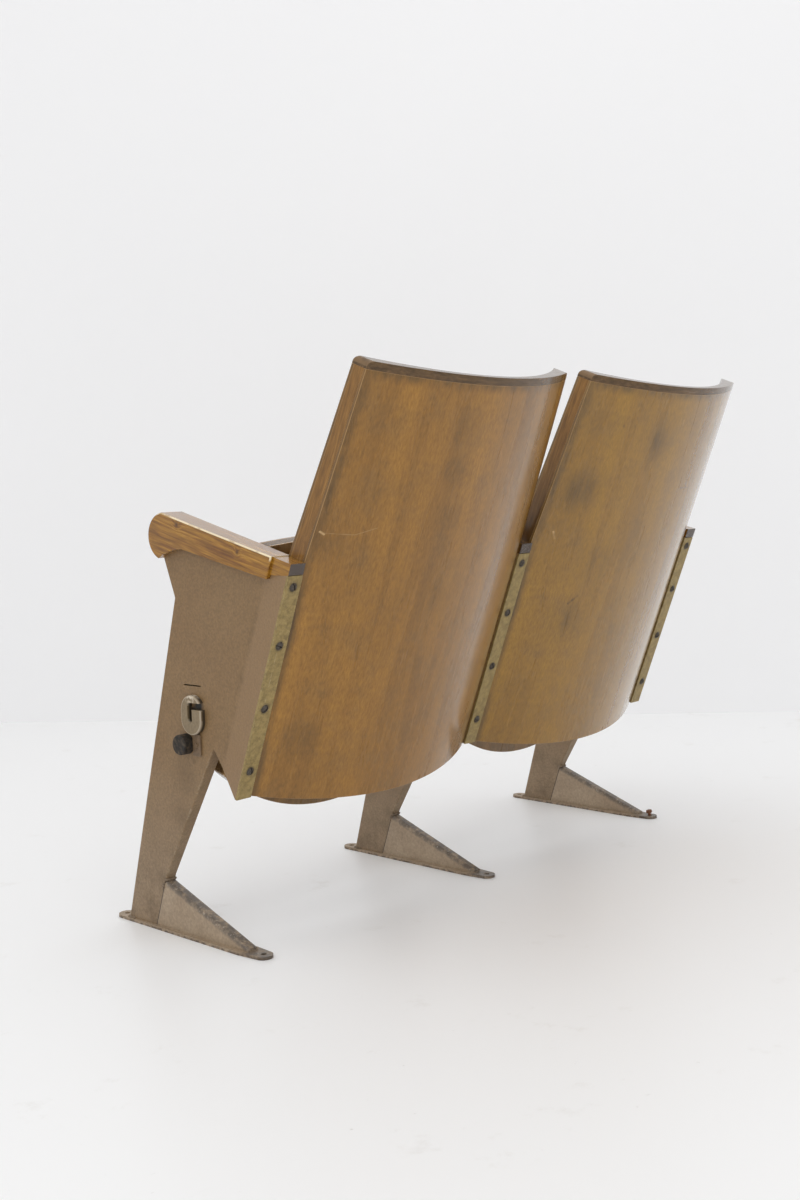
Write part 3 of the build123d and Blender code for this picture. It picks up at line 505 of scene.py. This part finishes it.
def varnished_beech(name, lie, grain_axis, knots, pale, deep, wear_and_painted_light, gloss):
    """Varnished beech: streaks 5 mm wide along the grain, dark pores, small knots that bend the grain.

    The pores are drawn 2 by 25 mm, coarser than real ones, so that they show."""
    material, tree = new_material(name)
    place = put(tree, "TexCoord").outputs["Object"]
    spot = put(tree, "SeparateXYZ", {0: place})
    plank = put(tree, "Mapping", {"Vector": place, **lie}).outputs[0]
    swirl, knot = 0.0, 0.0
    for at, reach in knots:
        near, core = smudge(tree, place, at, reach * 3), smudge(tree, place, at, reach)
        swirl = put(tree, "Math", {0: swirl, 1: near}, operation="MAXIMUM").outputs[0]
        knot = put(tree, "Math", {0: knot, 1: core}, operation="MAXIMUM").outputs[0]
    swirl = put(tree, "Math", {0: swirl, 1: KNOT_BEND}, operation="MULTIPLY").outputs[0]
    plank = put(tree, "VectorMath", {0: plank, 1: swirl}, operation="ADD").outputs[0]
    stretch = [1 / 0.005] * 3
    stretch[grain_axis] = 1 / 0.09
    streak = put(tree, "Mapping", {"Vector": plank, "Scale": stretch}).outputs[0]
    streak = put(tree, "TexNoise", {"Vector": streak, "Scale": 1.0, "Detail": 5.0, "Roughness": 0.6,
                                    "Distortion": 0.6}).outputs[0]
    stretch = [1 / 0.002] * 3
    stretch[grain_axis] = 1 / 0.025
    pores = put(tree, "Mapping", {"Vector": plank, "Scale": stretch}).outputs[0]
    pores = put(tree, "TexNoise", {"Vector": pores, "Scale": 1.0, "Detail": 2.0}).outputs[0]
    band = put(tree, "MapRange", {"Value": streak, "From Min": 0.34, "From Max": 0.66}).outputs[0]
    colour = put(tree, "Mix", {0: band, 6: srgb(deep), 7: srgb(pale)}, data_type="RGBA").outputs[2]
    colour = speckle(tree, colour, pores, 0.8, 1.14)
    knot = put(tree, "Math", {0: knot, 1: 0.85}, operation="MULTIPLY").outputs[0]
    colour = put(tree, "Mix", {0: knot, 6: colour, 7: srgb("#43290f")}, data_type="RGBA").outputs[2]
    worn = put(tree, "Attribute", attribute_name="wear").outputs["Fac"]
    if lie is ALONG_ARMREST:
        # The tongue's end grain, flush with the strips, is dark, and only the top arrises are rubbed pale,
        # with a painted highlight.
        rear = put(tree, "Mapping", {"Vector": place, **lean_with_back(0.0)}).outputs[0]
        rear = put(tree, "SeparateXYZ", {0: rear}).outputs["Y"]
        end_grain = put(tree, "MapRange", {"Value": rear, "From Min": -0.0012,
                                           "From Max": -0.0005}).outputs[0]
        colour = put(tree, "Mix", {0: end_grain, 6: colour, 7: srgb("#4b4039")}, data_type="RGBA").outputs[2]
        top = put(tree, "Math", {0: spot.outputs["Y"], 1: ARMREST_FALL, 2: spot.outputs["Z"]},
                  operation="MULTIPLY_ADD").outputs[0]
        top = put(tree, "MapRange", {"Value": top, "From Min": ARMREST_TOP - 0.005,
                                     "From Max": ARMREST_TOP}).outputs[0]
        worn = put(tree, "Math", {0: worn, 1: top}, operation="MULTIPLY").outputs[0]
        cranny = put(tree, "MapRange", {"Value": rear, "From Min": -0.045, "From Max": -0.015,
                                        "To Max": 0.8}).outputs[0]
    else:
        cranny = put(tree, "SeparateXYZ", {0: plank}).outputs["Z"]
        cranny = put(tree, "MapRange", {"Value": cranny, "From Min": 0.22, "From Max": 0.02,
                                        "To Max": 0.8}).outputs[0]
    # Painted shade darkens the narrow gap between the two backs, over the middle support: towards the
    # armrests' rear ends and low down on the other pieces.
    inner = put(tree, "Math", {0: spot.outputs["X"]}, operation="ABSOLUTE").outputs[0]
    inner = put(tree, "MapRange", {"Value": inner, "From Min": GAP_HALF + 0.02,
                                   "From Max": GAP_HALF}).outputs[0]
    gap_shade = put(tree, "Math", {0: inner, 1: cranny}, operation="MULTIPLY").outputs[0]
    colour = put(tree, "Mix", {0: gap_shade, 6: colour, 7: srgb("#3a2817")}, data_type="RGBA").outputs[2]
    # Worn arrises are rubbed pale; on the armrests' top arrises this pale line is also a painted highlight.
    rub_and_highlight = put(tree, "TexNoise", {"Vector": place, "Scale": 1 / 0.0222, "Detail": 4.0}).outputs[0]
    rub_and_highlight = put(tree, "MapRange", {"Value": rub_and_highlight, "From Min": 0.28, "From Max": 0.46}).outputs[0]
    rub_and_highlight = put(tree, "Math", {0: rub_and_highlight, 1: worn}, operation="MULTIPLY").outputs[0]
    colour = put(tree, "Mix", {0: rub_and_highlight, 6: colour, 7: srgb(wear_and_painted_light)}, data_type="RGBA").outputs[2]
    rough = put(tree, "MapRange", {"Value": streak, "To Min": 0.16, "To Max": 0.34}).outputs[0]
    lay_surface(tree, colour, rough, pores, 0.12, {"IOR": 1.3, "Coat Weight": gloss, "Coat IOR": 1.3,
                                                  "Coat Roughness": 0.08})
    return material


for end, knots in (
        ("left", (((0.5405, 0.0325, 0.6364), 5.0), ((0.5405, 0.1649, 0.5967), 5.0))),
        ("middle", (((0.0205, 0.12, 0.612), 4.0),)),
        ("right", (((-0.5, 0.08, 0.62), 4.0),))):
    beech = varnished_beech(f"{end}_varnished_beech", ALONG_ARMREST, FRONT_TO_REAR, knots,
                            "#ac7c2a", "#704413", "#ecdcb8", 1.0)
    dress(f"{end}_armrest", "frame", beech)

# Pivot hardware: cast bearing bosses with a bayonet slot on every cheek that faces a seat, and one on
# the free end cheeks. Below each sit a rubber buffer and its riveted strap, all under the same enamel.
BOSS_FACE = 0.019
SLOT_MOUTH = (0.0, 0.044, 0.379)
# The bosses' enamel has painted shade down the slot's walls and is rubbed bright at its mouth and rim.
boss_enamel, tree = new_material("worn_boss_enamel")
place = put(tree, "TexCoord").outputs["Object"]
spot = put(tree, "SeparateXYZ", {0: place})
grit = put(tree, "TexNoise", {"Vector": place, "Scale": 1 / 0.004, "Detail": 3.0}).outputs[0]
colour = put(tree, "Mix", {0: grit, 6: srgb("#6b5a40"), 7: srgb("#8f7d60")}, data_type="RGBA").outputs[2]
depth = put(tree, "Math", {0: from_support(tree, spot.outputs["X"])}, operation="ABSOLUTE").outputs[0]
sunk = put(tree, "MapRange", {"Value": depth, "From Min": BOSS_FACE - 0.0016,
                              "From Max": BOSS_FACE - 0.005, "To Max": 0.85}).outputs[0]
colour = put(tree, "Mix", {0: sunk, 6: colour, 7: srgb("#241c14")}, data_type="RGBA").outputs[2]
flat = put(tree, "CombineXYZ", {1: spot.outputs["Y"], 2: spot.outputs["Z"]}).outputs[0]
bright = put(tree, "MapRange", {"Value": grit, "From Min": 0.42, "From Max": 0.56}).outputs[0]
bright = put(tree, "Math", {0: bright, 1: smudge(tree, flat, SLOT_MOUTH, 16.0)},
             operation="MULTIPLY").outputs[0]
worn = put(tree, "Attribute", attribute_name="wear").outputs["Fac"]
front = put(tree, "MapRange", {"Value": sunk, "From Max": 0.85, "To Min": 0.4, "To Max": 0.0}).outputs[0]
worn = put(tree, "Math", {0: worn, 1: front}, operation="MULTIPLY").outputs[0]
bright = put(tree, "Math", {0: bright, 1: worn}, operation="MAXIMUM").outputs[0]
colour = put(tree, "Mix", {0: bright, 6: colour, 7: srgb("#d3c6b2")}, data_type="RGBA").outputs[2]
lay_surface(tree, colour, 0.45, grit, 0.2, {"IOR": 1.5})
strap_enamel = hammered_enamel("rusty_strap_enamel", "#7d664c", "#5e4a36", "#33271d", 0.4)
# Buffer rubber is matt black, perished and dusty.
buffer_rubber, tree = new_material("perished_black_rubber")
place = put(tree, "TexCoord").outputs["Object"]
crumb = put(tree, "TexNoise", {"Vector": place, "Scale": 1 / 0.00625, "Detail": 5.0,
                               "Roughness": 0.7}).outputs[0]
dust = put(tree, "MapRange", {"Value": crumb, "From Min": 0.45, "From Max": 0.75}).outputs[0]
colour = put(tree, "Mix", {0: dust, 6: srgb("#1b1611"), 7: srgb("#5a4a38")}, data_type="RGBA").outputs[2]
lay_surface(tree, colour, 0.7, crumb, 0.4)
for end in ("left", "right"):
    dress(f"{end}_end_bearing", "frame", boss_enamel, 0.6)
    dress(f"{end}_seat_bearings", "frame", boss_enamel, 0.6)
for end in ("left", "middle", "right"):
    dress(f"{end}_buffers", "frame", buffer_rubber)
    dress(f"{end}_buffer_straps", "frame", strap_enamel, 0.4)

# Backs: two bent beech skins that meet in the middle and are spread by stiles at the sides, stained
# and varnished; the rear skin has fine upright flecks, old scratches and grime along its edges.
SEAT_AT = {"left": SUPPORT_SPACING / 2, "right": -SUPPORT_SPACING / 2}
SKIN_HALF, UNDER_CAP = 0.242, 0.318
TAPER_FROM, TAPER_TO, TAPER = 0.03, 0.329, 0.0205
CHIP = "#c9a878"


def stained_ply(name, x, pale, deep, varnish_ior, marks_and_shade, scratches_and_highlight):
    """Varnished beech ply: upright flecks, long soft bands, cloudy stain, grime, painted shade and knocks.

    The flecks are drawn 2.5 by 9 mm, about three times the real size, so that they show."""
    material, tree = new_material(name)
    place = put(tree, "TexCoord").outputs["Object"]
    sheet = put(tree, "Mapping", {"Vector": place, **lean_with_back(x)}).outputs[0]
    spot = put(tree, "SeparateXYZ", {0: sheet})
    fine = put(tree, "Mapping", {"Vector": sheet, "Scale": (1 / 0.0025, 1 / 0.0025, 1 / 0.009)}).outputs[0]
    fleck = put(tree, "TexNoise", {"Vector": fine, "Scale": 1.0, "Detail": 3.0, "Roughness": 0.6}).outputs[0]
    wide = put(tree, "Mapping", {"Vector": sheet, "Scale": (1 / 0.045, 1 / 0.045, 1 / 0.4)}).outputs[0]
    bands = put(tree, "TexNoise", {"Vector": wide, "Scale": 1.0, "Detail": 5.0, "Roughness": 0.6,
                                   "Distortion": 0.4}).outputs[0]
    figure = put(tree, "MapRange", {"Value": bands, "From Min": 0.35, "From Max": 0.65}).outputs[0]
    colour = put(tree, "Mix", {0: figure, 6: srgb(deep), 7: srgb(pale)}, data_type="RGBA").outputs[2]
    stain = put(tree, "TexNoise", {"Vector": sheet, "Scale": 1 / 0.05, "Detail": 5.0,
                                   "Roughness": 0.65}).outputs[0]
    stain = put(tree, "MapRange", {"Value": stain, "From Min": 0.48, "From Max": 0.75,
                                   "To Max": 0.45}).outputs[0]
    colour = put(tree, "Mix", {0: stain, 6: colour, 7: srgb("#6f5737")}, data_type="RGBA").outputs[2]
    colour = speckle(tree, colour, fleck, 0.78, 1.22)
    # Streaky grime gathers along the sides, which taper upwards, and in each mark; the dark band under the
    # cap is painted shade, and on the seats the marks are painted shade over their lower part.
    side = put(tree, "Math", {0: spot.outputs["X"]}, operation="ABSOLUTE").outputs[0]
    taper = put(tree, "MapRange", {"Value": spot.outputs["Z"], "From Min": TAPER_FROM,
                                   "From Max": TAPER_TO, "To Max": TAPER}).outputs[0]
    side = put(tree, "Math", {0: side, 1: taper}, operation="ADD").outputs[0]
    edge = put(tree, "MapRange", {"Value": side, "From Min": SKIN_HALF - 0.013, "From Max": SKIN_HALF},
               interpolation_type="SMOOTHSTEP").outputs[0]
    top = put(tree, "MapRange", {"Value": spot.outputs["Z"], "From Min": UNDER_CAP - 0.018,
                                 "From Max": UNDER_CAP}, interpolation_type="SMOOTHSTEP").outputs[0]
    dirt_and_shade = put(tree, "Math", {0: edge, 1: top}, operation="MAXIMUM").outputs[0]
    for at, reach, depth in marks_and_shade:
        blot = smudge(tree, sheet, at, reach)
        blot = put(tree, "Math", {0: blot, 1: depth}, operation="MULTIPLY").outputs[0]
        dirt_and_shade = put(tree, "Math", {0: dirt_and_shade, 1: blot}, operation="MAXIMUM").outputs[0]
    darkening = put(tree, "TexNoise", {"Vector": wide, "Scale": 3.0, "Detail": 6.0, "Roughness": 0.65}).outputs[0]
    darkening = put(tree, "MapRange", {"Value": darkening, "From Min": 0.35, "From Max": 0.68,
                                   "To Min": 0.25}).outputs[0]
    dirt_and_shade = put(tree, "Math", {0: dirt_and_shade, 1: darkening}, operation="MULTIPLY").outputs[0]
    dirt_and_shade = put(tree, "Math", {0: dirt_and_shade, 1: 0.85}, operation="MULTIPLY").outputs[0]
    colour = put(tree, "Mix", {0: dirt_and_shade, 6: colour, 7: srgb("#443724")}, data_type="RGBA").outputs[2]
    # Scratches run straight from one point of the sheet to another, and break up where the tool skipped. On
    # the seats, one wide pale band drawn the same way is worn varnish and painted highlight.
    skip = put(tree, "TexNoise", {"Vector": sheet, "Scale": 1 / 0.0143, "Detail": 2.0}).outputs[0]
    skip = put(tree, "MapRange", {"Value": skip, "From Min": 0.42, "From Max": 0.54,
                                  "To Min": 0.4}).outputs[0]
    for start, end, half_mm, tint in scratches_and_highlight:
        run = Vector((end[0] - start[0], 0, end[1] - start[1]))
        way, half_run = run.normalized(), run.length / 2
        from_start = put(tree, "VectorMath", {0: sheet, 1: (start[0], 0, start[1])},
                         operation="SUBTRACT").outputs[0]
        along = put(tree, "VectorMath", {0: from_start, 1: way}, operation="DOT_PRODUCT").outputs["Value"]
        along = put(tree, "Math", {0: along, 1: half_run, 2: half_run}, operation="COMPARE").outputs[0]
        off = put(tree, "VectorMath", {0: from_start, 1: (-way.z, 0, way.x)},
                  operation="DOT_PRODUCT").outputs["Value"]
        off = put(tree, "Math", {0: off}, operation="ABSOLUTE").outputs[0]
        cut = put(tree, "MapRange", {"Value": off, "From Min": half_mm / 1000, "From Max": 0.0}).outputs[0]
        cut = put(tree, "Math", {0: cut, 1: along}, operation="MULTIPLY").outputs[0]
        cut = put(tree, "Math", {0: cut, 1: skip}, operation="MULTIPLY").outputs[0]
        colour = put(tree, "Mix", {0: cut, 6: colour, 7: srgb(tint)}, data_type="RGBA").outputs[2]
    worn = put(tree, "Attribute", attribute_name="wear").outputs["Fac"]
    worn = put(tree, "Math", {0: worn, 1: 0.7}, operation="MULTIPLY").outputs[0]
    colour = put(tree, "Mix", {0: worn, 6: colour, 7: srgb("#b08c5c")}, data_type="RGBA").outputs[2]
    rough = put(tree, "MapRange", {"Value": bands, "To Min": 0.2, "To Max": 0.36}).outputs[0]
    varnish = {"IOR": varnish_ior, "Specular Tint": srgb("#ffeedd"), "Coat Weight": 0.9,
               "Coat IOR": varnish_ior - 0.07, "Coat Roughness": 0.12}
    lay_surface(tree, colour, rough, fleck, 0.05, varnish)
    return material


UP_THE_BACK = lean_with_back(0.0)
stile_knots = (((0.5055, 0.2635, 0.611), 3.0), ((0.5055, 0.2655, 0.616), 2.5))
stile_wood = varnished_beech("stained_stile_beech", UP_THE_BACK, UP_SLOPE, stile_knots,
                             "#93692f", "#704c1f", "#c9a670", 0.8)
cap_wood = varnished_beech("dark_cap_beech", UP_THE_BACK, ACROSS_ROW, (((0.3, 0.44, 0.84), 3.0),),
                           "#6c5234", "#4b3922", "#785e40", 0.7)
# The packers between the skins are bare sawn beech, pale and matt.
core_wood, tree = new_material("bare_core_beech")
place = put(tree, "TexCoord").outputs["Object"]
fine = put(tree, "Mapping", {"Vector": place, "Scale": (1 / 0.00333, 1 / 0.00333, 1 / 0.0333)}).outputs[0]
fleck = put(tree, "TexNoise", {"Vector": fine, "Scale": 1.0, "Detail": 3.0}).outputs[0]
colour = put(tree, "Mix", {0: fleck, 6: srgb("#8a6c48"), 7: srgb("#b3946a")}, data_type="RGBA").outputs[2]
lay_surface(tree, colour, 0.65, fleck, 0.1)
# Each back has its own stain, dark marks (place, reach in millimetres, strength) and scratches (from,
# to, half width in millimetres, colour), all placed on its sloping sheet.
for seat, tones, marks_and_shade, scratches_and_highlight in (
        ("left", ("#9b6f30", "#825c2a", 1.38),
         (((0.228, 0.0, 0.07), 40.0, 0.5), ((0.045, 0.059, 0.258), 45.0, 0.5),
          ((0.041, 0.059, 0.19), 45.0, 0.5), ((0.036, 0.059, 0.12), 45.0, 0.5),
          ((0.019, 0.06, -0.015), 45.0, 0.5), ((0.194, 0.021, -0.241), 50.0, 0.5)),
         (((0.236, 0.083), (0.228, 0.079), 2.2, CHIP), ((0.234, 0.081), (0.188, 0.084), 0.9, "#a88659"),
          ((0.188, 0.084), (0.156, 0.098), 0.8, "#a88659"),
          ((-0.172, 0.246), (-0.164, 0.241), 2.6, "#4a3b28"))),
        ("right", ("#977028", "#866228", 1.46),
         (((0.194, 0.021, 0.132), 55.0, 0.95), ((0.052, 0.058, 0.235), 60.0, 0.7),
          ((0.142, 0.04, -0.102), 60.0, 0.6), ((0.107, 0.049, 0.016), 45.0, 0.6),
          ((0.144, 0.04, 0.253), 5.0, 0.9)),
         (((0.215, 0.06), (0.209, 0.046), 2.4, CHIP), ((0.149, -0.068), (0.132, -0.051), 3.2, "#3a2b19"),
          ((-0.067, 0.145), (-0.105, 0.143), 2.2, "#4c4033"),
          ((-0.093, 0.087), (-0.097, 0.1), 2.4, "#4c4033"), ((0.0, 0.272), (-0.002, 0.262), 1.6, CHIP),
          ((-0.171, 0.165), (-0.204, 0.15), 3.0, "#3c332a")))):
    ply = stained_ply(f"{seat}_stained_beech_ply", SEAT_AT[seat], *tones, marks_and_shade, scratches_and_highlight)
    dress(f"{seat}_back_rear_skin", "frame", ply, 0.6)
    dress(f"{seat}_back_front_skin", "frame", ply, 0.6)
    for stile in ("left", "right"):
        dress(f"{seat}_back_{stile}_stile", "frame", stile_wood, 0.8)
    dress(f"{seat}_back_cap", "frame", cap_wood, 1.2)
    for packing in ("bottom", "top"):
        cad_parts[f"{seat}_back_{packing}_packers"].data.materials[0] = core_wood

# Seats: tip-up boards of two dished ply skins on a rail frame, hung on steel side plates whose pins
# drop into the bearings. They are stained like the backs and worn pale along the front edge, where the pale
# band is also a painted highlight; their lower part gets painted shade.
# Painted shade: two wide dark blots over each seat's lower part. The wide pale band along the front edge is
# worn varnish and painted highlight.
SEAT_LOW_SHADE = (((0.1, -0.06, -0.43), 130.0, 0.5), ((-0.1, -0.06, -0.43), 130.0, 0.5))
SEAT_WEAR_AND_HIGHLIGHT = (((-0.22, 0.014), (0.22, 0.014), 20.0, "#b39a78"), ((0.08, -0.02), (0.02, -0.16), 0.8, "#6d5940"))
# Hinge plates are bare steel that has gone dull.
seat_steel, tree = new_material("dull_hinge_steel")
place = put(tree, "TexCoord").outputs["Object"]
grain = put(tree, "TexNoise", {"Vector": place, "Scale": 1 / 0.00417, "Detail": 4.0}).outputs[0]
colour = put(tree, "Mix", {0: grain, 6: srgb("#4d463d"), 7: srgb("#857b6d")}, data_type="RGBA").outputs[2]
lay_surface(tree, colour, 0.45, grain, 0.1, {"Metallic": 0.8})
rail_wood = varnished_beech("dusty_rail_beech", UP_THE_BACK, ACROSS_ROW, (((0.3, 0.13, 0.6), 3.0),),
                            "#7a5f3c", "#543d22", "#8a7050", 0.4)
for seat in ("left", "right"):
    body = f"{seat}_seat"
    ply = stained_ply(f"{seat}_worn_seat_ply", SEAT_AT[seat], "#86622f", "#735325", 1.38,
                      SEAT_LOW_SHADE, SEAT_WEAR_AND_HIGHLIGHT)
    dress(f"{seat}_seat_top_skin", body, ply, 0.6)
    dress(f"{seat}_seat_bottom_skin", body, ply, 0.6)
    for rail in ("side_rails", "front_rail", "rear_rail"):
        dress(f"{seat}_seat_{rail}", body, rail_wood)
    dress(f"{seat}_seat_hinge_plates", body, seat_steel, 0.4)
    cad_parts[f"{seat}_seat_hinge_screws"].data.materials[0] = bolt_steel
for screws in ("armrest_screws", "back_screws"):
    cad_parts[screws].data.materials[0] = bolt_steel
